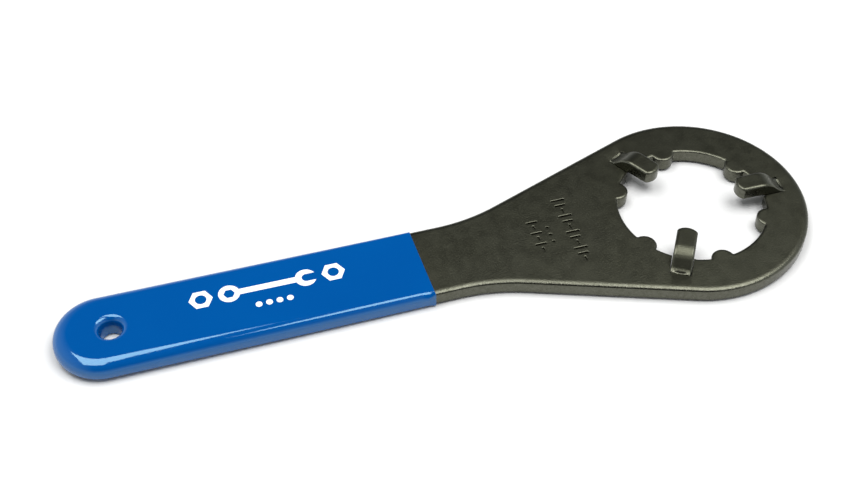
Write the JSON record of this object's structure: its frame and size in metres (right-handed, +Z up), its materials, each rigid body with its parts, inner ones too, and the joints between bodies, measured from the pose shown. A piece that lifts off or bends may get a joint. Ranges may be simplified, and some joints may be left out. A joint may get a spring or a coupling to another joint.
{
  "type": "bottom bracket wrench",
  "caption": "Flat steel ring wrench for a six-notch bottom bracket cup, with lobes inside the ring, bent-up stop fingers and a dipped vinyl grip with a hanging hole.",
  "frame": {"origin": "under the middle of the wrench, on the surface that its grip lies on", "axes": "+X along the handle towards the ring, +Z up, the side that the fingers rise on"},
  "size_m": [0.2342, 0.072, 0.0094],
  "materials": {
    "blackened_steel": "satin black oxide over blanked sheet",
    "blue_vinyl": "glossy dipped vinyl",
    "white_ink": "screen-printed ink"
  },
  "bodies": {
    "root": {"wrench_body": "blackened_steel", "vinyl_grip": "blue_vinyl"}
  },
  "joints": []
}
